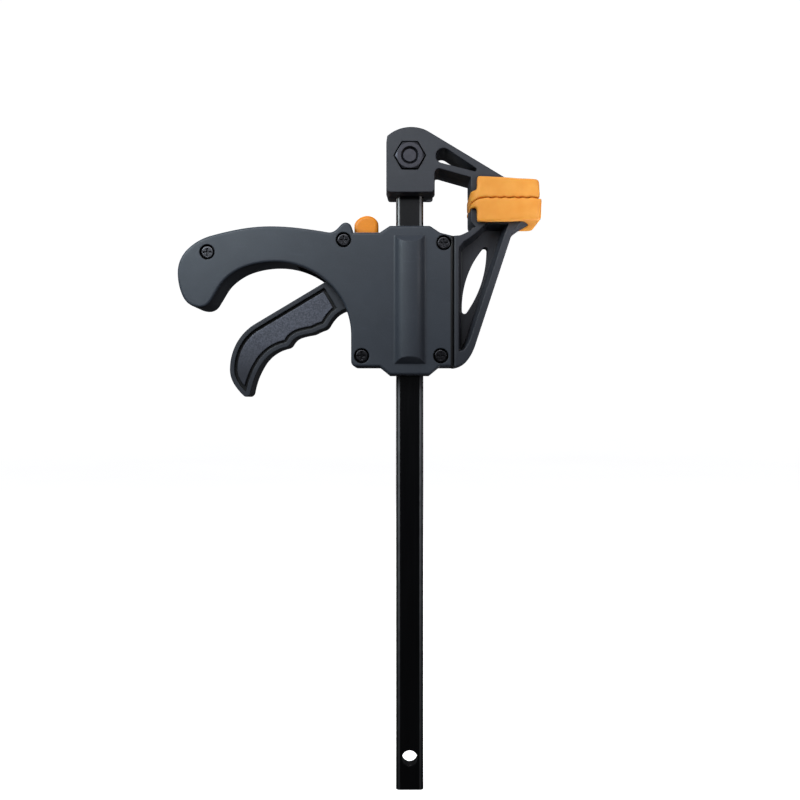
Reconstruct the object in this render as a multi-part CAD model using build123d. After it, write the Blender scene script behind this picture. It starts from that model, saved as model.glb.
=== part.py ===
from build123d import *
import os
from math import atan2, cos, degrees, hypot, radians, sin, sqrt, tan

# A one-handed quick release bar clamp with its jaws closed, in millimetres.
# +Z runs up the bar to the fixed jaw, +X points to the jaws, -Y is the front.
# The origin is the centre of the bar's free end.

# ---- bar
bar_length = 176.5
bar_width = 7.5
bar_thickness = 4.0
bar_edge_radius = 1.1
bar_hole_radius = 2.1
bar_hole_height = 8.7

# ---- clearances
slide_gap = 0.2
plate_gap = 0.15
pin_gap = 0.05
running_gap = 0.25
pad_gap = 0.25
spring_play = 0.05
inner_play = 0.75

# ---- jaw bolt and nut (M4)
bolt_to_bar_end = 4.2
bolt_radius = 2.0
bolt_hole_gap = 0.1
bolt_head_radius = 3.75
bolt_head_height = 2.6
bolt_head_edge = 1.0
bolt_end_chamfer = 0.3
bolt_end_sink = 0.3
head_recess_gap = 0.35
nut_flats = 7.0
nut_height = 3.2
nut_gap = 0.3
nut_proud = 0.5

# ---- fixed jaw, heights from the axis of its bolt
jaw_thickness = 15.0
jaw_draft = 2.5
jaw_left_wall = 2.35
jaw_right_wall = 2.85
jaw_block_bottom = 9.8
jaw_block_rounding = 0.8
jaw_crown = 7.6
crown_left_drop = 2.4
crown_right_drop = 1.1
crown_right_x = 4.9
jaw_slope = 31.1
arm_root_drop = 3.5
arm_root_gap = 1.5
arm_under_slope = 15.9
window_root_radius = 2.05
window_root_gap = 2.4
window_tip_radius = 0.5
window_drop = 0.17

# ---- jaw tips and their pads
tip_left = 16.4
tip_right = 32.8
tip_rounding = 1.0
neck_offset = 1.3
neck_drop = 2.1
fixed_tip_height = 2.4
moving_tip_height = 3.5
jaw_drop = 11.7
pad_floor = 1.6
pad_side_wall = 2.25
pad_end_wall = 1.9
moving_pad_overhang = 0.5
pad_flange_inset = 1.5
pad_lip_reach = 0.2
pad_lip_height = 2.1
fixed_pad_height = 5.9
moving_pad_height = 6.2
pad_rounding = 1.0
pad_corner = 2.6
tooth_pitch = 2.4
tooth_depth = 0.35

# ---- housing and handle, heights from the foot of the housing
housing_depth = 15.5
wall = 2.0
shoulder_height = 38.3
neck_rise = 1.8
neck_half_width = 5.4
neck_base_half_width = 8.1
foot_rise = 2.2
body_left = 15.8
body_corner = 1.5
seam_x = 11.7
jaw_base_drop = 0.9
handle_reach = 62.4
crest_rise = 1.7
crest_x = 37.5
handle_thickness = 9.7
palm_crown_x = 36.2
palm_foot_height = 10.7
handle_end_drop = 12.5
hump_gap = 2.1
hump_height = 2.7
hump_width = 4.0
cover_edge = 0.7
ridge_half_width = 4.5
ridge_cove = 1.0
ridge_flank_angle = 50
ridge_rise = 1.9
ridge_bottom = 3.0
ridge_top_drop = 0.8

# ---- cover screws
screw_radius = 1.1
screw_head_radius = 1.8
screw_head_height = 1.3
screw_head_gap = 0.25
screw_sink = 0.5
screw_end_wall = 3.15
screw_boss_wall = 0.2
handle_screw_inset = 8.0
handle_screw_drop = 7.0
hump_screw_shift = 0.6
hump_screw_drop = 2.0
foot_screw_inset = 2.85
foot_screw_height = 5.15
jaw_screw_inset = 2.6
jaw_screw_drop = 1.9
jaw_foot_screw_inset = 3.4
cross_width = 0.5
cross_length = 2.2
cross_depth = 0.8

# ---- moving jaw
pad_face_rise = 8.7
tongue_depth = 4.9
web_thickness = 4.0
web_draft = 10
flange_width = 1.4
rim_width = 1.9
heel_width = 5.8
heel_height = 5.6
back_inset = 5.6
back_drop = 9.7

# ---- trigger, places from its pivot
pivot_inset = 3.8
pivot_drop = 15.25
pin_radius = 1.5
pin_seat = 0.8
pin_boss_wall = 1.4
pin_boss_height = 0.5
barrel_radius = 3.4
nose_reach = 6.3
nose_lift = 1.25
nose_radius = 1.1
arm_root_radius = 1.4
trigger_reach = 36.7
trigger_drop = 28.65
trigger_top_left = 29.9
trigger_top_right = 9.5
trigger_top_rise = 3.05
trigger_rim = 1.2
trigger_groove = 0.8
trigger_groove_depth = 1.1
trigger_panel_depth = 0.4

# ---- plates round the bar
plate_corner = 0.8
plate_play = 0.1
drive_plate_thickness = 2.0
drive_plate_gap = 0.7
brake_plate_thickness = 2.5
brake_angle = 8
brake_play = 0.35
brake_plate_gap = 0.5

# ---- springs
drive_wire_radius = 0.45
drive_spring_turns = 6
brake_spring_gap = 0.75
brake_spring_radius = 1.7
brake_wire_radius = 0.3
brake_spring_turns = 4
shelf_thickness = 1.2
peg_height = 1.2

# ---- release button
button_inset = 0.7
button_width = 6.5
button_rise = 5.3
button_skirt = 2.05
button_thickness = 7.0
button_edge = 1.0
button_overhang = 1.1

# ---- what follows from these sizes
half_depth = housing_depth / 2
inner_depth = half_depth - wall
half_jaw = jaw_thickness / 2
half_pad = half_jaw + pad_side_wall
jaw_block_left = bar_width / 2 + jaw_left_wall
jaw_block_right = bar_width / 2 + jaw_right_wall
bolt_hole_radius = bolt_radius + bolt_hole_gap
nut_pocket_depth = nut_height - nut_proud
pad_flange_left = tip_left + pad_flange_inset
pad_right = tip_right + pad_end_wall
housing_height = shoulder_height + neck_rise
jaw_base_height = shoulder_height - jaw_base_drop
crest_height = shoulder_height + crest_rise
palm_crown_height = crest_height - handle_thickness
handle_end_height = crest_height - handle_end_drop
pad_face_height = shoulder_height + pad_face_rise
moving_tip_bottom = pad_face_height - pad_floor - moving_tip_height
tongue_left = seam_x - tongue_depth
screw_recess_radius = screw_head_radius + screw_head_gap
screw_recess_depth = screw_head_height + screw_sink
screw_boss_radius = screw_recess_radius + screw_boss_wall
screw_end = half_depth - screw_end_wall
pivot_x = pivot_inset - body_left
pivot_height = shoulder_height - pivot_drop
trigger_thickness = 2 * (inner_depth - pin_boss_height - running_gap)
plate_width = 2 * (inner_depth - inner_play)
drive_plate_top = pivot_height + nose_lift - nose_radius - running_gap
drive_plate_left = -pivot_x - barrel_radius - drive_plate_gap
drive_plate_right = tongue_left - drive_plate_gap
drive_spring_radius = hypot(bar_width / 2, bar_thickness / 2) + drive_wire_radius + spring_play
button_left = body_left - button_inset
hump_x = -button_left - hump_gap
brake_plate_end = button_left - button_overhang
brake_fulcrum_x = tongue_left - brake_plate_gap
brake_plate_reach = brake_plate_end + brake_fulcrum_x
brake_plate_rise = brake_plate_reach * tan(radians(brake_angle))
brake_plate_climb = brake_plate_rise + brake_plate_thickness * cos(radians(brake_angle))
brake_fulcrum_height = shoulder_height - wall - brake_play - brake_plate_climb
shelf_height = pivot_height + barrel_radius + running_gap + shelf_thickness
brake_spring_x = -(bar_width / 2 + brake_spring_gap + brake_spring_radius + brake_wire_radius)
bolt_height = bar_length - bolt_to_bar_end
contact_height = bolt_height - jaw_drop
base_height = contact_height - pad_gap - pad_face_height
carriage = Pos(0, 0, base_height)
jaw_frame = Pos(0, 0, bolt_height)


# ------------------------------------------------------------ helpers
def slab(face, y_front, y_back):
    """Extrude a face drawn in X and Z from y_back forward to y_front."""
    back = Plane(origin=(0, y_back, 0), x_dir=(1, 0, 0), z_dir=(0, -1, 0))
    return extrude(back * face, y_back - y_front)


def drafted(face, half, angle):
    """Slab about Y = 0 whose sides lean in from a mid-plane parting line to this face's outline."""
    middle = Plane.XZ * offset(face, half * tan(radians(angle)))
    front = extrude(middle, half, taper=angle)
    return front + mirror(front, about=Plane.XZ)


def narrowing(face, half, angle):
    """Cutter about Y = 0 that narrows from this face's outline at both ends to the middle."""
    front = extrude(Plane(origin=(0, -half, 0), x_dir=(1, 0, 0), z_dir=(0, -1, 0)) * face, -half, taper=angle)
    return front + mirror(front, about=Plane.XZ)


def rod(x, z, radius, y_front, y_back):
    """A cylinder along Y."""
    return slab(Pos(x, z) * Circle(radius), y_front, y_back)


def block(x0, x1, y0, y1, z0, z1):
    """A box given by its two corners."""
    middle = Pos((x0 + x1) / 2, (y0 + y1) / 2, (z0 + z1) / 2)
    return middle * Box(x1 - x0, y1 - y0, z1 - z0)


def bar_section(gap):
    """The bar's cross-section, widened all round by a clearance."""
    return RectangleRounded(bar_width + 2 * gap, bar_thickness + 2 * gap, bar_edge_radius)


def smooth_curve(*nodes):
    """Tangent arcs, two to a span, through nodes given as x, z and heading in degrees.

    A span whose ends share one heading is a straight line.
    """
    curve = Curve()
    for (x0, z0, heading0), (x1, z1, heading1) in zip(nodes, nodes[1:]):
        start, end = Vector(x0, z0), Vector(x1, z1)
        if heading0 == heading1:
            curve += Line(start, end)
            continue
        leave = Vector(cos(radians(heading0)), sin(radians(heading0)))
        arrive = Vector(cos(radians(heading1)), sin(radians(heading1)))
        chord = end - start
        turn = 2 * (1 - leave.dot(arrive))
        along = 2 * chord.dot(leave + arrive)
        reach = (sqrt(along**2 + 4 * turn * chord.dot(chord)) - along) / (2 * turn)
        joint = (start + end + (leave - arrive) * reach) / 2
        first = TangentArc(start, joint, tangent=leave)
        curve += first + TangentArc(joint, end, tangent=first % 1)
    return curve


def cross_recess(x, z, y_face, width, length, depth):
    """A cross-shaped driver recess, sunk by depth on either side of a head's face."""
    front, back = y_face - depth, y_face + depth
    upright = block(x - width / 2, x + width / 2, front, back, z - length / 2, z + length / 2)
    level = block(x - length / 2, x + length / 2, front, back, z - width / 2, z + width / 2)
    return upright + level


# ------------------------------------------------------------ bar
def make_bar():
    bar = extrude(bar_section(0), bar_length)
    bar -= rod(0, bar_hole_height, bar_hole_radius, -bar_thickness, bar_thickness)
    return bar - rod(0, bolt_height, bolt_hole_radius, -bar_thickness, bar_thickness)


# ------------------------------------------------------------ fixed jaw
def arm_top(x):
    """Height of the fixed arm's sloping top edge."""
    return jaw_crown - crown_right_drop - (x - crown_right_x) * tan(radians(jaw_slope))


def arm_under(x):
    """Height of the fixed arm's sloping underside."""
    root = jaw_block_right + arm_root_gap
    return -arm_root_drop - (x - root) * tan(radians(arm_under_slope))


def fixed_jaw_outline():
    """Block round the bar, crowned top, and an arm that slopes to the tip."""
    crown_start = (-jaw_block_left, jaw_crown - crown_left_drop)
    crown_end = (crown_right_x, arm_top(crown_right_x))
    crown_top = ((crown_start[0] + crown_end[0]) / 2, jaw_crown)
    crown = ThreePointArc(crown_start, crown_top, crown_end)
    tip_floor = pad_floor - jaw_drop
    tip_top = tip_floor + fixed_tip_height
    slope_end_x = crown_right_x + (crown_end[1] - tip_top) / tan(radians(jaw_slope))
    tip_end = smooth_curve(
        (tip_left + tip_rounding, tip_floor, 180),
        (tip_left, tip_floor + tip_rounding, 90),
    )
    tip = Polyline(
        crown_end,
        (slope_end_x, tip_top),
        (tip_right, tip_top),
        (tip_right, tip_floor),
        tip_end @ 0,
    )
    root = jaw_block_right + arm_root_gap
    foot_start = jaw_block_rounding - jaw_block_bottom
    arm = Polyline(
        tip_end @ 1,
        (tip_left, arm_under(tip_left)),
        (root, arm_under(root)),
    )
    corner = smooth_curve(
        (root, arm_under(root), 180 - arm_under_slope),
        (jaw_block_right, arm_under(root) - arm_root_gap, 270),
        (jaw_block_right, foot_start, 270),
    )
    foot = smooth_curve(
        (jaw_block_right, foot_start, 270),
        (jaw_block_right - jaw_block_rounding, -jaw_block_bottom, 180),
        (jaw_block_rounding - jaw_block_left, -jaw_block_bottom, 180),
        (-jaw_block_left, foot_start, 90),
    )
    return make_face(crown + tip + tip_end + arm + corner + foot + Line(foot @ 1, crown_start))


def fixed_jaw_core():
    """The fixed jaw's drafted body, before its window and bores."""
    return drafted(fixed_jaw_outline(), half_jaw, jaw_draft)


def arm_window():
    """Through window between the arm's top and underside, wide at its root."""
    root_x = jaw_block_right + window_root_gap
    tip_x = tip_left + window_root_radius / 2
    root_z = (arm_top(root_x) + arm_under(root_x)) / 2 - window_drop
    tip_z = (arm_top(tip_x) + arm_under(tip_x)) / 2 - window_drop
    root = Pos(root_x, root_z) * Circle(window_root_radius)
    tip = Pos(tip_x, tip_z) * Circle(window_tip_radius)
    return make_hull(root.edges() + tip.edges())


def make_fixed_jaw():
    jaw = fixed_jaw_core()
    jaw -= narrowing(arm_window(), half_jaw, jaw_draft)
    pocket = RegularPolygon(nut_flats / 2 + nut_gap, 6, major_radius=False)
    jaw -= slab(pocket, -half_jaw, nut_pocket_depth - half_jaw)
    jaw -= rod(0, 0, bolt_hole_radius, -half_jaw, half_jaw)
    recess_floor = half_jaw - bolt_head_height - nut_gap
    jaw -= rod(0, 0, bolt_head_radius + head_recess_gap, recess_floor, half_jaw)
    bar_socket = extrude(bar_section(0), bar_length)
    return jaw_frame * jaw - bar_socket


def make_jaw_bolt():
    head_front = half_jaw - bolt_head_height - nut_gap
    head_back = head_front + bolt_head_height
    end = bolt_end_sink - nut_proud - half_jaw
    shank = rod(0, 0, bolt_radius, end, head_front)
    shank = chamfer(shank.faces().sort_by(Axis.Y)[0].edges(), bolt_end_chamfer)
    head = rod(0, 0, bolt_head_radius, head_front, head_back)
    head = fillet(head.faces().sort_by(Axis.Y)[-1].edges(), bolt_head_edge)
    bolt = shank + head
    width = bolt_head_radius / 4
    bolt -= cross_recess(0, 0, head_back, width, 4.5 * width, 1.5 * width)
    return jaw_frame * bolt


def make_jaw_nut():
    nut_back = nut_pocket_depth - half_jaw
    nut_front = nut_back - nut_height
    prism = slab(RegularPolygon(nut_flats / 2, 6, major_radius=False), nut_front, nut_back)
    corner_radius = nut_flats / sqrt(3)
    turned = chamfer(rod(0, 0, corner_radius, nut_front, nut_back).edges(), nut_height / 10, nut_height / 5)
    nut = (prism & turned) - rod(0, 0, bolt_radius, nut_front, nut_back)
    mouth = nut.faces().sort_by(Axis.Y)[0].edges().sort_by(SortBy.LENGTH)[0]
    return jaw_frame * chamfer(mouth, nut_height / 8)


# ------------------------------------------------------------ pads
def tooth_line(x_start, x_end):
    """Ribs across the clamping face: a zigzag that starts and ends level."""
    count = int((x_end - x_start - pad_rounding) / tooth_pitch)
    margin = (x_end - x_start - count * tooth_pitch) / 2
    points = [(x_start, 0)]
    for i in range(count):
        x = x_start + margin + i * tooth_pitch
        points += [(x, 0), (x + tooth_pitch / 2, tooth_depth)]
    points += [(x_start + margin + count * tooth_pitch, 0), (x_end, 0)]
    return points


def make_pad(right, height, right_drop, up):
    """Soft cap with its ribbed face at height 0. up is 1 above the face and -1 below it."""
    ribs = tooth_line(pad_flange_left, right)
    top = [(right, up * (height - right_drop)), (pad_flange_left, up * height), ribs[0]]
    body = slab(make_face(Polyline(*ribs, *top)), -half_pad, half_pad)
    upright = body.edges().filter_by(Axis.Z).group_by(Axis.X)[-1]
    body = fillet(upright, pad_rounding)
    lip_left = tip_left - pad_lip_reach
    lip_plan = Pos(lip_left + pad_right / 2, 0) * RectangleRounded(pad_right, 2 * half_pad, pad_corner)
    lip_plan &= Pos(lip_left, 0) * Rectangle(2 * (pad_flange_left - lip_left), 2 * half_pad)
    return body + extrude(lip_plan, up * pad_lip_height)


def make_fixed_pad():
    pad = Pos(0, 0, -jaw_drop) * make_pad(pad_right, fixed_pad_height, fixed_pad_height / 8, 1)
    return jaw_frame * (pad - fixed_jaw_core())


def make_moving_pad():
    right = pad_right + moving_pad_overhang
    pad = make_pad(right, moving_pad_height, moving_pad_height / 20, -1)
    return carriage * (Pos(0, 0, pad_face_height) * pad - moving_jaw_core())


# ------------------------------------------------------------ moving jaw
def back_edge(height):
    """The point at a height on the moving jaw's straight back edge."""
    low_x, low = seam_x + heel_width, foot_rise + heel_height
    high_x, high = tip_right - back_inset, pad_face_height - back_drop
    return low_x + (high_x - low_x) * (height - low) / (high - low), height


def moving_jaw_outline():
    """Arm from the seam to the tip: rounded heel, straight back edge, curved neck."""
    tip_top = pad_face_height - pad_floor
    heel = back_edge(foot_rise + heel_height)
    shoulder = back_edge(pad_face_height - back_drop)
    run = Vector(shoulder) - Vector(heel)
    lean = degrees(atan2(run.Y, run.X))
    back = smooth_curve(
        (seam_x, foot_rise, 5),
        (*heel, lean),
        (*shoulder, lean),
        (tip_right - 2.9, moving_tip_bottom - 0.8, lean / 2),
    )
    tip_end = smooth_curve(
        (tip_left + tip_rounding, tip_top, 180),
        (tip_left, tip_top - tip_rounding, 270),
        (tip_left, moving_tip_bottom, 270),
        (tip_left + neck_offset, moving_tip_bottom - neck_drop, 320),
    )
    neck = smooth_curve(
        (tip_left + neck_offset, moving_tip_bottom - neck_drop, 216),
        (seam_x + 1.7, jaw_base_height + 0.1, 200),
    )
    tip = Polyline(back @ 1, (tip_right, moving_tip_bottom), (tip_right, tip_top), tip_end @ 0)
    seam = Polyline(neck @ 1, (seam_x, jaw_base_height), back @ 0)
    return make_face(back + tip + tip_end + neck + seam)


def moving_jaw_core():
    """The moving jaw's drafted body, flat at the seam, whose edges are rounded."""
    core = drafted(moving_jaw_outline(), half_jaw, jaw_draft)
    plan = Pos(seam_x + pad_right, 0) * RectangleRounded(2 * pad_right, jaw_thickness, cover_edge)
    return core & extrude(plan, pad_face_height)


def jaw_pocket():
    """Outline of the recess in each side of the moving jaw, inside its rims."""
    left = seam_x + flange_width
    low_x, low = back_edge(foot_rise + 9.6)
    high_x, high = back_edge(pad_face_height - back_drop + 0.6)
    top = moving_tip_bottom - 1.3
    floor = Line((left, foot_rise + 4.0), (left + 1.5, foot_rise + 4.5))
    heel = ThreePointArc(floor @ 1, (left + 2.7, foot_rise + 6.5), (low_x - rim_width, low))
    back = Polyline(heel @ 1, (high_x - rim_width, high), (tip_right - 6.3, top), (tip_left + 3.8, top))
    neck = ThreePointArc(back @ 1, (tip_left + 1.8, top - 2.0), (left + 1.3, jaw_base_height - 1.6))
    side = Polyline(neck @ 1, (left, jaw_base_height - 3.2), floor @ 0)
    return make_face(floor + heel + back + neck + side)


def leaf_window():
    """Leaf-shaped opening through the web."""
    low = foot_rise + 13.5
    high_x, high = back_edge(jaw_base_height - 1.2)
    middle_x, middle = back_edge((low + high) / 2)
    bottom, top = (seam_x + 2.7, low), (high_x - 5.6, high)
    right = ThreePointArc(bottom, (middle_x - 3.5, middle), top)
    left = ThreePointArc(top, (seam_x + 4.0, middle + 1.0), bottom)
    leaf = make_face(right + left)
    return fillet(leaf.vertices(), 0.7)


def make_moving_jaw():
    jaw = moving_jaw_core()
    depth = (jaw_thickness - web_thickness) / 2
    front_plane = Plane(origin=(0, -half_jaw, 0), x_dir=(1, 0, 0), z_dir=(0, -1, 0))
    pocket = extrude(front_plane * jaw_pocket(), -depth, taper=web_draft)
    jaw -= pocket
    jaw -= mirror(pocket, about=Plane.XZ)
    jaw -= slab(leaf_window(), -half_jaw, half_jaw)
    inner = inner_depth
    jaw += block(tongue_left, seam_x + flange_width / 2, -inner, inner, foot_rise, jaw_base_height)
    reach = screw_boss_radius + pin_gap
    for x, height in right_screws():
        jaw -= rod(x, height, reach, -inner, inner)
        jaw -= block(tongue_left, x, -inner, inner, height - reach, height + reach)
    return carriage * jaw


# ------------------------------------------------------------ housing
def left_screws():
    """Screws of the handle's end, of the hump and of the housing's lower corner."""
    return [
        (handle_screw_inset - handle_reach, crest_height - handle_screw_drop),
        (hump_x - hump_screw_shift, shoulder_height - hump_screw_drop),
        (foot_screw_inset - body_left, foot_screw_height),
    ]


def right_screws():
    """Screws whose bosses lock the moving jaw's tongue."""
    return [
        (seam_x - jaw_screw_inset, jaw_base_height - jaw_screw_drop),
        (seam_x - jaw_foot_screw_inset, foot_screw_height),
    ]


def housing_outline(with_hump):
    """Front view of handle and housing, height 0 at the foot."""
    end = -handle_reach
    shoulder = shoulder_height
    foot = Polyline(
        (seam_x, foot_rise),
        (neck_base_half_width, foot_rise),
        (neck_half_width, 0),
        (-neck_half_width, 0),
        (-neck_base_half_width, foot_rise),
        (body_corner - body_left, foot_rise),
    )
    hump_foot = (hump_x - 1.2 * hump_width, shoulder + 0.1, -10)
    palm = smooth_curve(
        (body_corner - body_left, foot_rise, 180),
        (-body_left, foot_rise + body_corner, 90),
        (-body_left, palm_foot_height, 90),
        (-palm_crown_x, palm_crown_height, 180),
        (end + 12.9, handle_end_height - 1.9, 224),
        (end + 10.8, handle_end_height - 4.7, 240),
        (end + 6.1, handle_end_height - 9.4, 180),
        (end, handle_end_height, 90),
        (end + 8.8, handle_end_height + 9.9, 16),
        (-crest_x, crest_height, 0),
        hump_foot,
    )
    hump = Line(palm @ 1, (-neck_base_half_width, shoulder))
    if with_hump:
        hump = smooth_curve(
            hump_foot,
            (hump_x - hump_width / 2, shoulder + hump_height / 2, 50),
            (hump_x, shoulder + hump_height, 0),
            (hump_x + hump_width / 2, shoulder, -80),
        )
        hump += Line(hump @ 1, (-neck_base_half_width, shoulder))
    neck = Polyline(
        (-neck_base_half_width, shoulder),
        (-neck_half_width, housing_height),
        (neck_half_width, housing_height),
        (neck_base_half_width, shoulder),
        (seam_x, jaw_base_height),
        foot @ 0,
    )
    return make_face(foot + palm + hump + neck)


def bar_ridge():
    """Ridge along the bar on the front face: coved flanks, rounded crown and sloped ends."""
    root, crown = -half_depth, -half_depth - ridge_rise
    flank = root - ridge_rise / 3
    side = ridge_half_width - ridge_cove
    line = smooth_curve(
        (-ridge_half_width, root, 0),
        (-side, flank, -ridge_flank_angle),
        (0, crown, 0),
        (side, flank, ridge_flank_angle),
        (ridge_half_width, root, 0),
    )
    inner = (ridge_half_width, -inner_depth), (-ridge_half_width, -inner_depth)
    ridge = extrude(make_face(line + Polyline(line @ 1, *inner, line @ 0)), housing_height)
    top = shoulder_height - ridge_top_drop
    ends = Polyline(
        (-inner_depth, ridge_bottom),
        (root, ridge_bottom),
        (crown, ridge_bottom + ridge_rise),
        (crown, top - ridge_rise),
        (root, top),
        (-inner_depth, top),
        close=True,
    )
    return ridge & extrude(Plane.YZ * make_face(ends), ridge_half_width, both=True)


def cover_shell():
    """Front cover before its screw holes. The rear cover is its mirror image."""
    shell = slab(housing_outline(True), -half_depth, 0)
    shell = fillet(shell.faces().sort_by(Axis.Y)[0].edges(), cover_edge)
    hollow = slab(offset(housing_outline(False), -wall), -inner_depth, 0)
    hollow &= block(-handle_reach, tongue_left, -inner_depth, 0, 0, housing_height)
    shell -= hollow
    shell += bar_ridge()
    shell -= block(tongue_left, seam_x + wall, -inner_depth, 0, 0, housing_height)
    for x, height in left_screws() + right_screws():
        shell += rod(x, height, screw_boss_radius, -inner_depth - wall / 10, 0)
    shell += pin_boss()
    shell += inner_ribs()
    shell -= bar_passage()
    shell -= trigger_slot()
    shell -= button_slot()
    shell -= rod(pivot_x, pivot_height, pin_radius, -inner_depth - pin_seat, 0)
    return shell


def pin_boss():
    """Low ring that keeps the trigger centred between the covers."""
    face = trigger_thickness / 2 + running_gap
    return rod(pivot_x, pivot_height, pin_radius + pin_boss_wall, wall / 2 - half_depth, -face)


def inner_ribs():
    """Spring shelf with its peg, stop over the drive plates and fulcrum over the brake plate."""
    start = -inner_depth - wall / 10
    clear = bar_width / 2 + slide_gap
    shelf_left = brake_spring_x - brake_spring_radius - 2 * brake_wire_radius
    shelf = block(shelf_left, -clear, start, 0, shelf_height - shelf_thickness, shelf_height)
    peg_radius = brake_spring_radius - brake_wire_radius - plate_gap
    peg = Pos(brake_spring_x, 0, shelf_height + peg_height / 2) * Cylinder(peg_radius, peg_height)
    shelf += peg & block(shelf_left, -clear, start, 0, shelf_height, shelf_height + peg_height)
    rib_left = clear + wall / 4
    stop_bottom = drive_plate_top + plate_play
    stop = block(rib_left, tongue_left, start, 0, stop_bottom, stop_bottom + wall)
    fulcrum = block(rib_left, tongue_left, start, 0, fulcrum_stop_height(), housing_height - wall)
    return shelf + stop + fulcrum


def bar_passage():
    """Openings at the neck and at the foot for the bar."""
    half = inner_depth + neck_half_width
    return extrude(bar_section(slide_gap), housing_height) & block(-half, half, -half, 0, 0, housing_height)


def trigger_slot():
    """Opening in the palm side through which the trigger swings."""
    half = trigger_thickness / 2 + 2 * running_gap
    right = wall - body_left
    low = palm_foot_height + 5.0
    return block(pivot_x - 18.5, right, -half, 0, low, palm_crown_height + 1.5)


def button_slot():
    """Opening in the shoulder for the release button."""
    half = button_thickness / 2 + running_gap
    left = -button_left - 1.5
    right = button_width - button_left + 0.6
    return block(left, right, -half, 0, brake_fulcrum_height + button_skirt, housing_height + hump_height)


def make_front_cover():
    cover = cover_shell()
    floor = screw_recess_depth - half_depth
    for x, height in left_screws() + right_screws():
        cover -= rod(x, height, screw_recess_radius, -housing_depth, floor)
        cover -= rod(x, height, screw_radius, floor - pin_gap, 0)
    return carriage * cover


def make_rear_cover():
    cover = mirror(cover_shell(), about=Plane.XZ)
    for x, height in left_screws() + right_screws():
        cover -= rod(x, height, screw_radius, 0, screw_end)
    return carriage * cover


def make_cover_screws():
    """Five cross-recessed screws, heads sunk in the front cover."""
    screws = []
    seat = screw_recess_depth - half_depth
    face = seat - screw_head_height
    for x, height in left_screws() + right_screws():
        head = rod(x, height, screw_head_radius, face, seat)
        head = fillet(head.faces().sort_by(Axis.Y)[0].edges(), screw_head_height / 3)
        screw = head + rod(x, height, screw_radius, seat, screw_end)
        screw -= cross_recess(x, height, face, cross_width, cross_length, cross_depth)
        screws.append(carriage * screw)
    return Compound(children=screws)


# ------------------------------------------------------------ trigger
def trigger_blade():
    """Outline of the lever from its pivot: straight top, curved end and finger scallops."""
    left, low = -trigger_reach, -trigger_drop
    top_left = (-trigger_top_left, low + 19.5)
    top = Line((-trigger_top_right, trigger_top_rise), top_left)
    edge = smooth_curve(
        (*top_left, 211),
        (left, low + 7.2, 270),
        (left + 3.8, low, 318),
        (left + 5.6, low + 1.0, 80),
        (-21.6, -15.45, 12),
        (-20.2, -14.35, 62),
        (-14.9, -11.75, 8),
        (-13.2, -11.15, 28),
        (-11.3, -10.35, 18),
        (-9.9, -9.05, 62),
        (-5.3, -5.05, 15),
    )
    return make_face(top + edge + Polyline(edge @ 1, (0, -barrel_radius), (0, barrel_radius), top @ 0))


def make_trigger():
    half = trigger_thickness / 2
    blade = trigger_blade()
    nose = Pos(nose_reach, nose_lift) * Circle(nose_radius)
    arm_root = Pos(nose_radius, barrel_radius - arm_root_radius) * Circle(arm_root_radius)
    arm = make_hull(arm_root.edges() + nose.edges())
    trigger = slab(blade + Circle(barrel_radius) + arm, -half, half)
    panel = offset(blade, -trigger_rim)
    lean = degrees(atan2(trigger_top_rise + trigger_drop - 19.5, trigger_top_left - trigger_top_right))
    panel_end = Pos(-8.9, -3.05) * Rot(0, 0, lean) * Pos(trigger_reach, 0)
    panel -= panel_end * Rectangle(2 * trigger_reach, 2 * trigger_reach)
    groove = panel - offset(panel, -trigger_groove)
    trigger -= slab(panel, -half, trigger_panel_depth - half)
    trigger -= slab(panel, half - trigger_panel_depth, half)
    trigger -= slab(groove, -half, trigger_groove_depth - half)
    trigger -= slab(groove, half - trigger_groove_depth, half)
    trigger -= rod(0, 0, pin_radius + pin_gap, -half, half)
    return carriage * Pos(pivot_x, 0, pivot_height) * trigger


def make_trigger_pin():
    end = inner_depth + pin_seat - pin_gap
    return carriage * rod(pivot_x, pivot_height, pin_radius, -end, end)


# ------------------------------------------------------------ plates
def make_drive_plate(index):
    top = drive_plate_top - index * (drive_plate_thickness + plate_play)
    half = plate_width / 2
    plate = block(-drive_plate_left, drive_plate_right, -half, half, top - drive_plate_thickness, top)
    plate = fillet(plate.edges().filter_by(Axis.Z), plate_corner)
    return carriage * (plate - extrude(bar_section(plate_gap), housing_height))


def brake_point(along, up):
    """A point of the canted brake plate: distance from its fulcrum and height above its underside."""
    angle = radians(brake_angle)
    x = brake_fulcrum_x - along * cos(angle) + up * sin(angle)
    return x, brake_fulcrum_height + along * sin(angle) + up * cos(angle)


def fulcrum_stop_height():
    """Underside of the stop that the brake plate's end bears on."""
    reach = brake_fulcrum_x - bar_width / 2
    return brake_point(reach, brake_plate_thickness)[1] + plate_play


def brake_plate_blank():
    """The canted plate without its opening, in the carriage's heights."""
    half = plate_width / 2
    length = brake_plate_reach / cos(radians(brake_angle))
    plate = block(-length, 0, -half, half, 0, brake_plate_thickness)
    plate = fillet(plate.edges().filter_by(Axis.Z), plate_corner)
    return Pos(brake_fulcrum_x, 0, brake_fulcrum_height) * Rot(0, brake_angle, 0) * plate


def make_brake_plate():
    """The opening clears the bar at rest and while the plate is pressed square."""
    angle = radians(brake_angle)
    length = (bar_width + brake_plate_thickness * sin(angle)) / cos(angle) + 2 * plate_gap
    centre = (brake_fulcrum_x + brake_plate_thickness / 2 * sin(angle)) / cos(angle)
    opening = Pos(-centre, 0, 0) * Box(length, bar_thickness + 2 * plate_gap, 3 * brake_plate_thickness)
    tilt = Pos(brake_fulcrum_x, 0, brake_fulcrum_height) * Rot(0, brake_angle, 0)
    return carriage * (brake_plate_blank() - tilt * opening)


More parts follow.
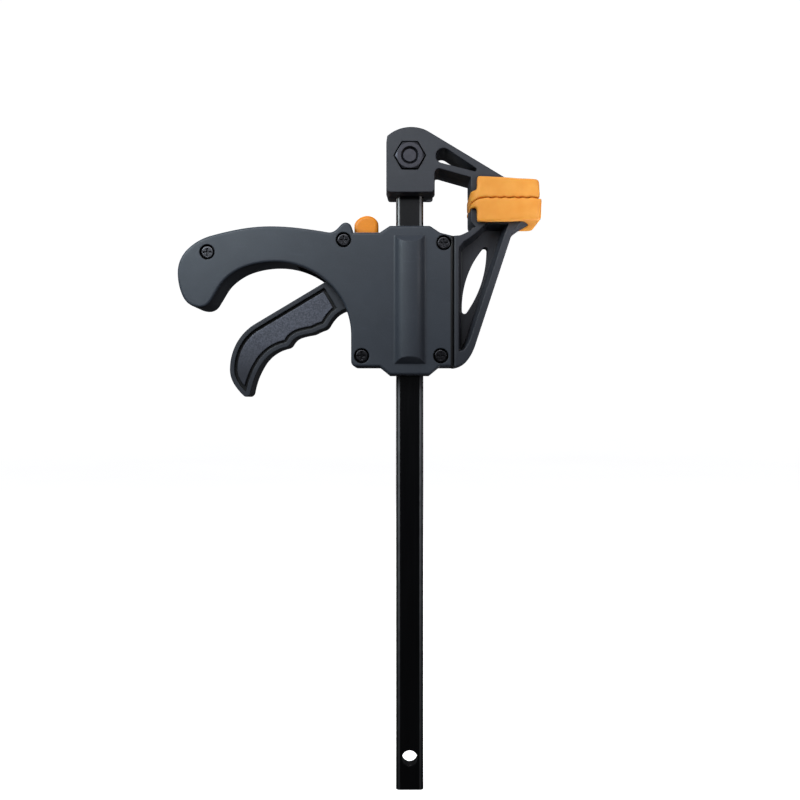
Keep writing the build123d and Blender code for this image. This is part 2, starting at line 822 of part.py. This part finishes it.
def make_release_button():
    """Domed thumb piece that straddles the brake plate's free end."""
    half = button_thickness / 2
    left, right = -button_left, button_width - button_left
    top = shoulder_height + button_rise
    bottom = brake_fulcrum_height + button_skirt
    crown = smooth_curve(
        (left, top - 2.5, 70),
        (left + 0.55 * button_width, top, 0),
        (right, top - 2.0, -68),
    )
    sides = Polyline(crown @ 1, (right, bottom), (left, bottom), crown @ 0)
    button = slab(make_face(crown + sides), -half, half)
    rims = button.faces().sort_by(Axis.Y)[0].edges() + button.faces().sort_by(Axis.Y)[-1].edges()
    button = fillet(rims.filter_by(lambda edge: edge.center().Z > bottom + pin_gap), button_edge)
    return carriage * (button - brake_plate_blank())


# ------------------------------------------------------------ springs
def coil(radius, wire, turns, bottom, top):
    """A coil spring that stands between two heights."""
    height = top - bottom - 2 * wire
    path = Helix(height / turns, height, radius)
    start = Plane(origin=path @ 0, z_dir=path % 0)
    spring = sweep(start * Circle(wire), path=path, is_frenet=True)
    return Pos(0, 0, bottom + wire) * spring


def make_drive_spring():
    top = drive_plate_top - 2 * drive_plate_thickness - 2 * plate_play
    bottom = foot_rise + wall
    return carriage * coil(drive_spring_radius, drive_wire_radius, drive_spring_turns, bottom, top)


def make_brake_spring():
    """Small coil on its peg, under the canted brake plate."""
    along = (brake_fulcrum_x - brake_spring_x - brake_spring_radius) / cos(radians(brake_angle))
    top = brake_point(along, 0)[1] - plate_play
    spring = coil(brake_spring_radius, brake_wire_radius, brake_spring_turns, shelf_height, top)
    return carriage * Pos(brake_spring_x, 0, 0) * spring


# ------------------------------------------------------------ export
nodes = {
    "bar": make_bar(),
    "fixed_jaw": make_fixed_jaw(),
    "jaw_bolt": make_jaw_bolt(),
    "jaw_nut": make_jaw_nut(),
    "fixed_pad": make_fixed_pad(),
    "moving_jaw": make_moving_jaw(),
    "moving_pad": make_moving_pad(),
    "front_cover": make_front_cover(),
    "rear_cover": make_rear_cover(),
    "cover_screws": make_cover_screws(),
    "trigger": make_trigger(),
    "trigger_pin": make_trigger_pin(),
    "drive_plate_upper": make_drive_plate(0),
    "drive_plate_lower": make_drive_plate(1),
    "drive_spring": make_drive_spring(),
    "brake_plate": make_brake_plate(),
    "brake_spring": make_brake_spring(),
    "release_button": make_release_button(),
}

os.makedirs("parts", exist_ok=True)
for name, solid in nodes.items():
    export_step(solid, f"parts/{name}.step")
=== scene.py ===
"""Looks of the one-handed bar clamp: materials, soft pads, floor, light and camera.

Everything is in metres in the part's own frame: +Z up the bar, +X to the jaws, -Y the front.
"""

import math

import bmesh
import bpy
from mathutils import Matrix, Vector


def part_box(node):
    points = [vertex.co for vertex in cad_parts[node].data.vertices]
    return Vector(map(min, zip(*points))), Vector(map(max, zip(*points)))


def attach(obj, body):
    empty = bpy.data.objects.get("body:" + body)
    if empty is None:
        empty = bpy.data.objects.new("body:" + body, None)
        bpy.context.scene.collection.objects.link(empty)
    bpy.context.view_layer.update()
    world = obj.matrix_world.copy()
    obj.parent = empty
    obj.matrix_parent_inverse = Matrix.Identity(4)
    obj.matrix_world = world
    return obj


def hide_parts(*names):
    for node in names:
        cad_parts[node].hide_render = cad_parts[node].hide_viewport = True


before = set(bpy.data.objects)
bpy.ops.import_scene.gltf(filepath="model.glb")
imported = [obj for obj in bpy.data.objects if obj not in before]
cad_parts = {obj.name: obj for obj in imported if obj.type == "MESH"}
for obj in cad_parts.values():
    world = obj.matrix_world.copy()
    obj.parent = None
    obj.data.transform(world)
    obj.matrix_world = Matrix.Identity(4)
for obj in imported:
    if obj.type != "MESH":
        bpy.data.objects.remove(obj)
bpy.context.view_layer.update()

MM = 0.001

# ---- camera, placed as in the photograph's view
CAMERA_PLACE = Vector((-2.65, -292.75, 106.65)) * MM
CAMERA_FOCAL_PIXELS = 1063
CAMERA_NEAREST = 10 * MM
IMAGE_PIXELS = 800
SENSOR = 36

# ---- colours, linear
SLATE = (0.042, 0.049, 0.064)
SLATE_DARK = (0.034, 0.037, 0.048)
GLOSS_BLACK = (0.0030, 0.0030, 0.0035)
RUBBED_BLACK = (0.06, 0.06, 0.065)
BLACK_OXIDE = (0.064, 0.064, 0.076)
SCREW_BLACK = (0.065, 0.065, 0.072)
STEEL = (0.50, 0.50, 0.51)
ORANGE_PAD = (0.94, 0.375, 0.055)
ORANGE_BUTTON = (0.95, 0.29, 0.010)
PANEL_GREY = (0.086, 0.090, 0.117)
# painted highlight: the colour of the light lines along the bar's arrises
ARRIS_HIGHLIGHT_GREY = (0.24, 0.24, 0.25)
FLOOR_WHITE = (0.93, 0.93, 0.93)
SKY_BLUE = (0.90, 0.93, 1.0)
KEY_BLUE = (0.90, 0.98, 1.0)
KEY_CYAN = (0.80, 0.96, 1.0)
WHITE = (1, 1, 1)


# ------------------------------------------------------------ node helpers
def feed(tree, socket, value):
    """Links a socket to another one, or sets its value."""
    if isinstance(value, bpy.types.NodeSocket):
        tree.links.new(value, socket)
    else:
        socket.default_value = value


def add_node(tree, kind, inputs=None, **settings):
    """A shader node with its settings, and its inputs given as values or as sockets to link."""
    made = tree.nodes.new(kind)
    for key, value in settings.items():
        setattr(made, key, value)
    for key, value in (inputs or {}).items():
        feed(tree, made.inputs[key], value)
    return made


def new_material(name):
    material = bpy.data.materials.new(name)
    material.use_nodes = True
    return material, material.node_tree, material.node_tree.nodes["Principled BSDF"]


def finish_shader(tree, shader, tone, rough, normal, **numbers):
    """Links colour, roughness and normal to the shader, and sets its plain numbers."""
    tree.links.new(tone, shader.inputs["Base Color"])
    tree.links.new(rough, shader.inputs["Roughness"])
    tree.links.new(normal, shader.inputs["Normal"])
    for name, value in numbers.items():
        shader.inputs[name.replace("_", " ")].default_value = value


def maths(tree, operation, *values):
    made = add_node(tree, "ShaderNodeMath", dict(enumerate(values)), operation=operation)
    return made.outputs[0]


def times(tree, value, factor):
    return maths(tree, "MULTIPLY", value, factor)


def place(tree):
    """Texture coordinates in metres that stay with the piece."""
    return add_node(tree, "ShaderNodeTexCoord").outputs["Object"]


def part_along(tree, vector, axis):
    return add_node(tree, "ShaderNodeSeparateXYZ", {"Vector": vector}).outputs[axis]


def size_along(tree, vector, axis):
    """How large a vector is along one axis, whichever its sign."""
    return maths(tree, "ABSOLUTE", part_along(tree, vector, axis))


def noise_at(tree, size, detail=3.0, stretch=None):
    """Noise whose blobs are about size metres across."""
    where = place(tree)
    if stretch:
        mapping = add_node(tree, "ShaderNodeMapping", {"Vector": where, "Scale": stretch})
        where = mapping.outputs["Vector"]
    inputs = {"Vector": where, "Scale": 1 / size, "Detail": detail, "Roughness": 0.55}
    return add_node(tree, "ShaderNodeTexNoise", inputs).outputs["Fac"]


def ranged(tree, value, low, high, start=0.3, end=0.7):
    """A value from start to end, mapped to low to high and held there."""
    inputs = {"Value": value, "From Min": start, "From Max": end, "To Min": low, "To Max": high}
    return add_node(tree, "ShaderNodeMapRange", inputs).outputs["Result"]


def patches(tree, size, detail, low=0, high=1, start=0.3, end=0.7, stretch=None):
    """Noise that is low in some places and high in others."""
    return ranged(tree, noise_at(tree, size, detail, stretch), low, high, start, end)


def between(tree, value, low, high, blur=0.08 * MM):
    """1 where the value is from low to high."""
    rise = ranged(tree, value, 0, 1, low - blur, low)
    return times(tree, rise, ranged(tree, value, 1, 0, high, high + blur))


def mixed(tree, factor, first, second):
    """Colour between two colours or colour sockets."""
    made = add_node(tree, "ShaderNodeMix", data_type="RGBA")
    factor_at, first_at, second_at = made.inputs[0], made.inputs[6], made.inputs[7]
    feed(tree, factor_at, factor)
    for socket, colour in ((first_at, first), (second_at, second)):
        feed(tree, socket, (*colour, 1) if isinstance(colour, tuple) else colour)
    return made.outputs[2]


def shaded(colour, factor):
    """A colour made lighter or darker."""
    return tuple(channel * factor for channel in colour)


def dyed(colour, factors):
    """A colour with each channel made stronger or weaker."""
    return tuple(channel * factor for channel, factor in zip(colour, factors))


def rounded_normal(tree, radius):
    """The surface normal, turned near edges as if each edge were rounded by radius."""
    return add_node(tree, "ShaderNodeBevel", {"Radius": radius}, samples=6).outputs["Normal"]


def surface_normal(tree):
    return add_node(tree, "ShaderNodeNewGeometry").outputs["Normal"]


def bumped(tree, height, strength, distance, normal=None):
    inputs = {"Height": height, "Strength": strength, "Distance": distance}
    if normal:
        inputs["Normal"] = normal
    return add_node(tree, "ShaderNodeBump", inputs).outputs["Normal"]


def edge_mask(tree, bent, start=0.02, end=0.25):
    """1 on sharp edges and 0 on flat faces, broken up by noise."""
    both = {0: bent, 1: surface_normal(tree)}
    dot = add_node(tree, "ShaderNodeVectorMath", both, operation="DOT_PRODUCT")
    bend = maths(tree, "SUBTRACT", 1, dot.outputs["Value"])
    edge = ranged(tree, bend, 0, 1, start, end)
    return times(tree, edge, patches(tree, 2.5 * MM, 4, 0.15, 1, 0.35, 0.6))


def crevice(tree, distance):
    """1 on open faces, falling to 0 in grooves and corners narrower than about distance."""
    made = add_node(tree, "ShaderNodeAmbientOcclusion", {"Distance": distance}, samples=6)
    return ranged(tree, made.outputs["AO"], 0, 1, 0.30, 0.90)


# ------------------------------------------------------------ moulded plastic
PLASTIC_CLOUD = 14 * MM
# size, detail, stretch, noise from, noise to, strength and shade
PLASTIC_SPECKS = (0.35 * MM, 2, None, 0.55, 0.75, 0.22, 1.6)
PLASTIC_SCRATCHES = (1.1 * MM, 6, (0.16, 1, 1), 0.62, 0.70, 0.10, 2.0)
PLASTIC_CREVICE = 1.6 * MM
# painted shade: shares of the colour that edges and narrow crevices are drawn at
EDGE_SHADE = 0.25
CREVICE_SHADE = 0.12
# the dark line where the housing meets the moving jaw
SEAM_START = 10.95 * MM
SEAM_END = 11.75 * MM
SEAM_SHADE = 0.05


def moulded_plastic(name, colour, rough, grain=0.35, edge_shade_strength=0.8, edge=0.36 * MM, seam=False):
    """Moulded plastic: cloudy tone, spark-eroded grain, faint scratches, painted shade on edges
    and crevices.
    """
    material, tree, shader = new_material(name)
    bent = rounded_normal(tree, edge)
    cloud = patches(tree, PLASTIC_CLOUD, 4)
    tone = mixed(tree, cloud, shaded(colour, 0.90), shaded(colour, 1.10))
    for size, detail, stretch, start, end, strength, shade in (PLASTIC_SPECKS, PLASTIC_SCRATCHES):
        mark = patches(tree, size, detail, 0, strength, start, end, stretch)
        tone = mixed(tree, mark, tone, shaded(colour, shade))
    # painted shade: edges are drawn darker, as dark outlines
    edge_wear_and_shade = times(tree, edge_mask(tree, bent), edge_shade_strength)
    tone = mixed(tree, edge_wear_and_shade, tone, shaded(colour, EDGE_SHADE))
    # painted shade: grooves and corners narrower than the crevice distance are drawn darker
    tone = mixed(tree, crevice(tree, PLASTIC_CREVICE), shaded(colour, CREVICE_SHADE), tone)
    if seam:
        line = between(tree, part_along(tree, place(tree), "X"), SEAM_START, SEAM_END)
        tone = mixed(tree, line, tone, shaded(colour, SEAM_SHADE))
    matt = patches(tree, 6 * MM, 5, rough - 0.05, rough + 0.07)
    normal = bumped(tree, noise_at(tree, 5 * MM, 2), 0.25, 0.10 * MM, bent)
    normal = bumped(tree, noise_at(tree, 0.22 * MM, 3), grain, 0.035 * MM, normal)
    finish_shader(tree, shader, tone, matt, normal, Specular_IOR_Level=0.45)
    return material


# depths on the trigger, from its middle plane
PANEL_LOW = 4.2 * MM
PANEL_HIGH = 4.8 * MM
GROOVE_HIGH = 4.1 * MM
GROOVE_SHADE = 0.10
# heights between which the panel goes from dark to pale: painted shade on its lower part
PANEL_DARK_BELOW = 114 * MM
PANEL_PALE_ABOVE = 124 * MM
PANEL_DARK_SHADE = 0.45


def front_facing(tree, low, high):
    """1 on flat faces to the front or back that are low to high from the middle plane."""
    facing = ranged(tree, size_along(tree, surface_normal(tree), "Y"), 0, 1, 0.90, 0.97)
    return times(tree, between(tree, size_along(tree, place(tree), "Y"), low, high), facing)


def trigger_finish(colour):
    """The trigger's plastic: a rough pale panel inside a groove drawn dark with painted shade."""
    material = moulded_plastic("trigger_plastic", colour, 0.40, grain=0.6)
    tree = material.node_tree
    shader = tree.nodes["Principled BSDF"]
    plain = shader.inputs["Base Color"].links[0].from_socket
    rough = patches(tree, 0.45 * MM, 3, 0, 1, 0.35, 0.65)
    panel = mixed(tree, rough, shaded(PANEL_GREY, 0.62), shaded(PANEL_GREY, 1.38))
    height = part_along(tree, place(tree), "Z")
    pale = ranged(tree, height, 0, 1, PANEL_DARK_BELOW, PANEL_PALE_ABOVE)
    # painted shade: the panel is darker towards the bottom
    panel = mixed(tree, pale, shaded(PANEL_GREY, PANEL_DARK_SHADE), panel)
    tone = mixed(tree, front_facing(tree, PANEL_LOW, PANEL_HIGH), plain, panel)
    # painted shade: the groove's front faces are drawn near black
    groove = front_facing(tree, 0, GROOVE_HIGH)
    tone = mixed(tree, groove, tone, shaded(colour, GROOVE_SHADE))
    tree.links.new(tone, shader.inputs["Base Color"])
    return material


# ------------------------------------------------------------ steel
# the bar's painted highlight lines along its arrises: how far from its centre line, and the
# heights over which they brighten
ARRIS_START = 2.72 * MM
ARRIS_END = 3.22 * MM
ARRIS_FAINT_BELOW = 5 * MM
ARRIS_FULL_ABOVE = 110 * MM
ARRIS_FAINT = 0.18


def painted_steel(name, colour, rough):
    """Glossy black finish on flat steel: slight orange peel, painted highlights along the
    arrises, fine scratches.
    """
    material, tree, shader = new_material(name)
    bent = rounded_normal(tree, 0.25 * MM)
    streak = patches(tree, 2.2 * MM, 6, stretch=(1, 1, 0.08))
    tone = mixed(tree, streak, shaded(colour, 0.8), shaded(colour, 1.5))
    edge_wear_and_shade = times(tree, edge_mask(tree, bent, 0.10, 0.45), 0.25)
    tone = mixed(tree, edge_wear_and_shade, tone, RUBBED_BLACK)
    # painted highlight: light lines along the arrises, standing in for reflections at the rounded
    # edges
    arris = between(tree, size_along(tree, place(tree), "X"), ARRIS_START, ARRIS_END)
    height = part_along(tree, place(tree), "Z")
    fade = ranged(tree, height, ARRIS_FAINT, 1, ARRIS_FAINT_BELOW, ARRIS_FULL_ABOVE)
    arris_highlight = times(tree, patches(tree, 3 * MM, 4, 0.7, 1), fade)
    tone = mixed(tree, times(tree, arris, arris_highlight), tone, ARRIS_HIGHLIGHT_GREY)
    hair = patches(tree, 0.5 * MM, 8, rough, rough + 0.10, 0.5, 0.8, (1, 1, 0.03))
    normal = bumped(tree, noise_at(tree, 1.6 * MM, 2), 0.10, 0.02 * MM, bent)
    finish_shader(
        tree, shader, tone, hair, normal,
        Specular_IOR_Level=0.4, Coat_Weight=0.25, Coat_Roughness=0.12,
    )
    return material


def metal(name, colour, rough, brush=(1, 1, 1), size=0.8 * MM, edge=0.15 * MM, dents=0.3):
    """Bare or oxide-black steel with a brushed or tumbled surface."""
    material, tree, shader = new_material(name)
    bent = rounded_normal(tree, edge)
    lines = noise_at(tree, size, 6, brush)
    tone = mixed(tree, ranged(tree, lines, 0, 1), shaded(colour, 0.75), shaded(colour, 1.2))
    tone = mixed(tree, edge_mask(tree, bent, 0.05, 0.35), tone, shaded(colour, 1.9))
    satin = ranged(tree, lines, rough - 0.08, rough + 0.12)
    normal = bumped(tree, lines, dents, 0.03 * dents * MM, bent)
    finish_shader(tree, shader, tone, satin, normal, Metallic=1)
    return material


# ------------------------------------------------------------ rubber and floor
RUBBER_DULL = (0.95, 0.90, 0.8)
RUBBER_BRIGHT = (1.03, 1.10, 1.25)
RUBBER_SMUDGE = (0.75, 0.62, 0.8)
RUBBER_DEPTHS = (1.0, 0.45, 0.15)


def soft_rubber(name, colour, rough):
    """Matte coloured rubber: uneven dye, fine skin and smudges where it has been handled."""
    material, tree, shader = new_material(name)
    cloud = patches(tree, 5 * MM, 4)
    tone = mixed(tree, cloud, dyed(colour, RUBBER_DULL), dyed(colour, RUBBER_BRIGHT))
    smudge = patches(tree, 2.0 * MM, 6, 0, 0.16, 0.58, 0.78)
    tone = mixed(tree, smudge, tone, dyed(colour, RUBBER_SMUDGE))
    matt = patches(tree, 1.5 * MM, 4, rough - 0.06, rough + 0.08)
    normal = bumped(tree, noise_at(tree, 2.5 * MM, 3), 0.25, 0.08 * MM)
    normal = bumped(tree, noise_at(tree, 0.25 * MM, 3), 0.25, 0.03 * MM, normal)
    finish_shader(
        tree, shader, tone, matt, normal,
        Subsurface_Weight=0.12, Subsurface_Radius=RUBBER_DEPTHS, Subsurface_Scale=0.6 * MM,
        Specular_IOR_Level=0.35,
    )
    return material


FLOOR_GLOW = 0.97


def floor_material():
    """Matte white that glows a little, so that the paper stays pale wherever the lights are."""
    material, tree, shader = new_material("pale_floor")
    tone = mixed(tree, patches(tree, 0.25, 3), shaded(FLOOR_WHITE, 0.985), FLOOR_WHITE)
    tree.links.new(tone, shader.inputs["Base Color"])
    tree.links.new(tone, shader.inputs["Emission Color"])
    shader.inputs["Emission Strength"].default_value = FLOOR_GLOW
    shader.inputs["Roughness"].default_value = 0.85
    shader.inputs["Specular IOR Level"].default_value = 0.1
    return material


# ------------------------------------------------------------ the CAD nodes' materials
def dress(node_names, material):
    for name in node_names:
        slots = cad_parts[name].material_slots
        if not slots:
            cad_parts[name].data.materials.append(material)
        for slot in slots:
            slot.material = material


def dress_nodes():
    """Better materials on the carried-over CAD nodes."""
    housing = moulded_plastic("housing_plastic", SLATE, 0.46, seam=True)
    dress(["front_cover", "rear_cover"], housing)
    dress(["fixed_jaw"], moulded_plastic("jaw_plastic", SLATE_DARK, 0.44))
    dress(["moving_jaw"], moulded_plastic("moving_jaw_plastic", SLATE_DARK, 0.44, seam=True))
    dress(["trigger"], trigger_finish(shaded(SLATE_DARK, 0.9)))
    dress(["release_button"], moulded_plastic("button_plastic", ORANGE_BUTTON, 0.38, edge_shade_strength=0.1))
    dress(["bar"], painted_steel("bar_finish", GLOSS_BLACK, 0.16))
    dress(["jaw_bolt", "jaw_nut"], metal("black_oxide", BLACK_OXIDE, 0.42))
    dress(["cover_screws"], metal("screw_finish", SCREW_BLACK, 0.22, size=0.6 * MM, dents=0.8))
    plates = ["drive_plate_upper", "drive_plate_lower", "brake_plate"]
    dress(plates, metal("plate_steel", STEEL, 0.34, brush=(0.1, 1, 1)))
    dress(["trigger_pin", "drive_spring", "brake_spring"], metal("spring_steel", STEEL, 0.25))


# ------------------------------------------------------------ soft pads
PAD_VOXEL = 0.24 * MM
PAD_PASSES = 7
SMOOTH_FACTOR = 0.5
# rounding away from the clamping face, fullest at the jaws' outer ends
ROUND_START = 1.5 * MM
ROUND_FULL = 3.0 * MM
ROUND_PASSES = 110
OUTER_START = 25 * MM
OUTER_FULL = 29 * MM
INNER_SHARE = 0.35
# the lips at the jaws' inner ends
LIP_START = 18.9 * MM
LIP_END = 16.2 * MM
LIP_DROOP = 1.6 * MM
LIP_THICKNESS = 2.1 * MM
LIP_FARTHEST = 1.2
LIP_CURVE = 1.6


def link(piece):
    bpy.context.scene.collection.objects.link(piece)
    return piece


def smooth_shading(piece):
    for polygon in piece.data.polygons:
        polygon.use_smooth = True


def held(share):
    """A share, held from 0 to 1."""
    return max(0, min(1, share))


def mesh_piece(name, bm):
    bmesh.ops.recalc_face_normals(bm, faces=bm.faces)
    mesh = bpy.data.meshes.new(name)
    bm.to_mesh(mesh)
    bm.free()
    return link(bpy.data.objects.new(name, mesh))


def apply_modifiers(piece):
    graph = bpy.context.evaluated_depsgraph_get()
    mesh = bpy.data.meshes.new_from_object(piece.evaluated_get(graph))
    piece.modifiers.clear()
    piece.data = mesh


def add_smoothing(piece, name, passes):
    smooth = piece.modifiers.new(name, "SMOOTH")
    smooth.factor = SMOOTH_FACTOR
    smooth.iterations = passes
    return smooth


def soften(piece, voxel, passes):
    """Rounds every edge the way a soft moulding has them."""
    remesh = piece.modifiers.new("skin", "REMESH")
    remesh.mode = "VOXEL"
    remesh.voxel_size = voxel
    add_smoothing(piece, "round", passes)
    apply_modifiers(piece)
    smooth_shading(piece)


def round_back(piece, face):
    """Rounds the corners away from the ribbed clamping face further, the outer ones most."""
    group = piece.vertex_groups.new(name="away")
    for vertex in piece.data.vertices:
        away = (abs(vertex.co.z - face) - ROUND_START) / (ROUND_FULL - ROUND_START)
        outer = (vertex.co.x - OUTER_START) / (OUTER_FULL - OUTER_START)
        share = INNER_SHARE + (1 - INNER_SHARE) * held(outer)
        group.add([vertex.index], held(away) * share, "REPLACE")
    add_smoothing(piece, "rounder", ROUND_PASSES).vertex_group = group.name
    apply_modifiers(piece)
    piece.vertex_groups.clear()


def droop_lip(piece, face, far_share):
    """Bends the lip at the jaw's inner end down, as both soft lips are squeezed."""
    for vertex in piece.data.vertices:
        along = (LIP_START - vertex.co.x) / (LIP_START - LIP_END)
        if along <= 0:
            continue
        away = min(1, abs(vertex.co.z - face) / LIP_THICKNESS)
        share = 1 + (far_share - 1) * away
        vertex.co.z -= LIP_DROOP * min(along, LIP_FARTHEST) ** LIP_CURVE * share


def make_pad(node, body, face, far_share, rubber):
    """A rubber cap on a jaw's tip, in place of the CAD solid of its node."""
    piece = link(bpy.data.objects.new(node + "_rubber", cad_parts[node].data.copy()))
    piece.data.materials.clear()
    soften(piece, PAD_VOXEL, PAD_PASSES)
    round_back(piece, face)
    droop_lip(piece, face, far_share)
    piece.data.materials.append(rubber)
    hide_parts(node)
    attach(piece, body)


# ------------------------------------------------------------ floor
FLOOR_INNER = 0.25
FLOOR_FLAT = 1.6
FLOOR_RISE = 1.4
FLOOR_SEGMENTS = 96
FLOOR_RINGS = 16


def make_floor():
    """A wide pale floor whose far rim turns up into a backdrop on every side.

    Only the camera sees it, so that it neither lights the part nor shows in its gloss.
    """
    profile = [(FLOOR_INNER, 0.0), (FLOOR_FLAT, 0.0)]
    for ring in range(FLOOR_RINGS):
        angle = math.pi / 2 * (ring + 1) / FLOOR_RINGS
        along = FLOOR_FLAT + FLOOR_RISE * math.sin(angle)
        profile.append((along, FLOOR_RISE * (1 - math.cos(angle))))
    bm = bmesh.new()
    centre = bm.verts.new((0, 0, 0))
    turns = [2 * math.pi * i / FLOOR_SEGMENTS for i in range(FLOOR_SEGMENTS)]
    loops = [
        [bm.verts.new((radius * math.cos(t), radius * math.sin(t), height)) for t in turns]
        for radius, height in profile
    ]
    for i in range(FLOOR_SEGMENTS):
        j = (i + 1) % FLOOR_SEGMENTS
        bm.faces.new((centre, loops[0][i], loops[0][j]))
        for inner, outer in zip(loops, loops[1:]):
            bm.faces.new((inner[i], outer[i], outer[j], inner[j]))
    floor = mesh_piece("floor", bm)
    smooth_shading(floor)
    floor.data.materials.append(floor_material())
    floor.visible_diffuse = False
    floor.visible_glossy = False
    floor.visible_shadow = False


# ------------------------------------------------------------ light
SKY_BAND = 0.52
SKY_REST = 0.030
# where the pale band begins and ends, as parts of a unit direction
SKY_RISE = (0.02, 0.22)
SKY_FALL = (0.25, 0.55)
SKY_FRONT = (-0.5, 0.1)
SKY_HIGH_SHARE = 0.3

MIDDLE = (0, 0, 0.12)
PADS = (0.035, 0, 0.158)
PADS_UNDERSIDE = (0.032, 0, 0.153)
# name, place, target, width and height, power, colour and spread in degrees
LIGHTS = (
    ("key", (-0.09, -0.12, 0.21), (-0.03, 0, 0.14), (0.08, 0.08), 0.10, KEY_BLUE, 180),
    ("key_left", (-0.14, -0.11, 0.22), (-0.04, 0, 0.14), (0.08, 0.08), 0.10, KEY_CYAN, 180),
    ("front_top", (-0.01, -0.18, 0.27), (0.02, 0, 0.15), (0.10, 0.10), 0.105, WHITE, 180),
    ("pads", (0.075, -0.065, 0.155), PADS, (0.03, 0.03), 0.0038, WHITE, 62),
    ("low_right", (0.10, 0.02, 0.03), PADS_UNDERSIDE, (0.05, 0.05), 0.011, WHITE, 36),
    ("top", (0.05, 0.05, 0.75), MIDDLE, (0.40, 0.40), 0.5, WHITE, 180),
    ("back", (0.0, 0.45, 0.55), MIDDLE, (0.40, 0.40), 1.8, WHITE, 180),
    ("strip_left", (-0.50, 0.35, 0.11), MIDDLE, (0.05, 0.60), 0.7, WHITE, 180),
    ("strip_right", (0.50, 0.35, 0.11), MIDDLE, (0.04, 0.60), 0.4, WHITE, 180),
)


def area_light(name, place_at, target, size, power, colour, spread):
    """A soft light of a width and height, aimed at a target and shining within its spread."""
    light = bpy.data.lights.new(name, "AREA")
    light.shape = "RECTANGLE"
    light.size, light.size_y = size
    light.energy = power
    light.color = colour
    light.spread = math.radians(spread)
    lamp = link(bpy.data.objects.new(name, light))
    lamp.location = place_at
    lamp.visible_camera = False
    aim = Vector(target) - Vector(place_at)
    lamp.rotation_euler = aim.to_track_quat("-Z", "Y").to_euler()


def make_sky():
    """Studio dome: a pale band above the camera in front, dim elsewhere."""
    world = bpy.data.worlds.new("studio")
    world.use_nodes = True
    tree = world.node_tree
    toward = add_node(tree, "ShaderNodeTexCoord").outputs["Generated"]
    up = part_along(tree, toward, "Z")
    rise = ranged(tree, up, 0, SKY_BAND, *SKY_RISE)
    fall = ranged(tree, up, 1, SKY_HIGH_SHARE, *SKY_FALL)
    front = ranged(tree, part_along(tree, toward, "Y"), 1, 0, *SKY_FRONT)
    glow = maths(tree, "MULTIPLY_ADD", times(tree, rise, fall), front, SKY_REST)
    background = tree.nodes["Background"]
    background.inputs["Color"].default_value = (*SKY_BLUE, 1)
    tree.links.new(glow, background.inputs["Strength"])
    bpy.context.scene.world = world


def make_light():
    """The dome and the lights: two cool keys near the handle, fills, and rims from behind."""
    make_sky()
    for light in LIGHTS:
        area_light(*light)
    bpy.context.scene.view_settings.view_transform = "Standard"


def make_camera():
    data = bpy.data.cameras.new("camera")
    data.sensor_width = SENSOR
    data.lens = CAMERA_FOCAL_PIXELS / IMAGE_PIXELS * SENSOR
    data.clip_start = CAMERA_NEAREST
    camera = link(bpy.data.objects.new("camera", data))
    camera.location = CAMERA_PLACE
    camera.rotation_euler = (math.radians(90), 0, 0)
    bpy.context.scene.camera = camera


# ------------------------------------------------------------ the scene
dress_nodes()
pad_rubber = soft_rubber("pad_rubber", ORANGE_PAD, 0.55)
make_pad("fixed_pad", "bar_with_jaw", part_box("fixed_pad")[0].z, 0.0, pad_rubber)
make_pad("moving_pad", "carriage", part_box("moving_pad")[1].z, 0.4, pad_rubber)
make_floor()
make_light()
make_camera()
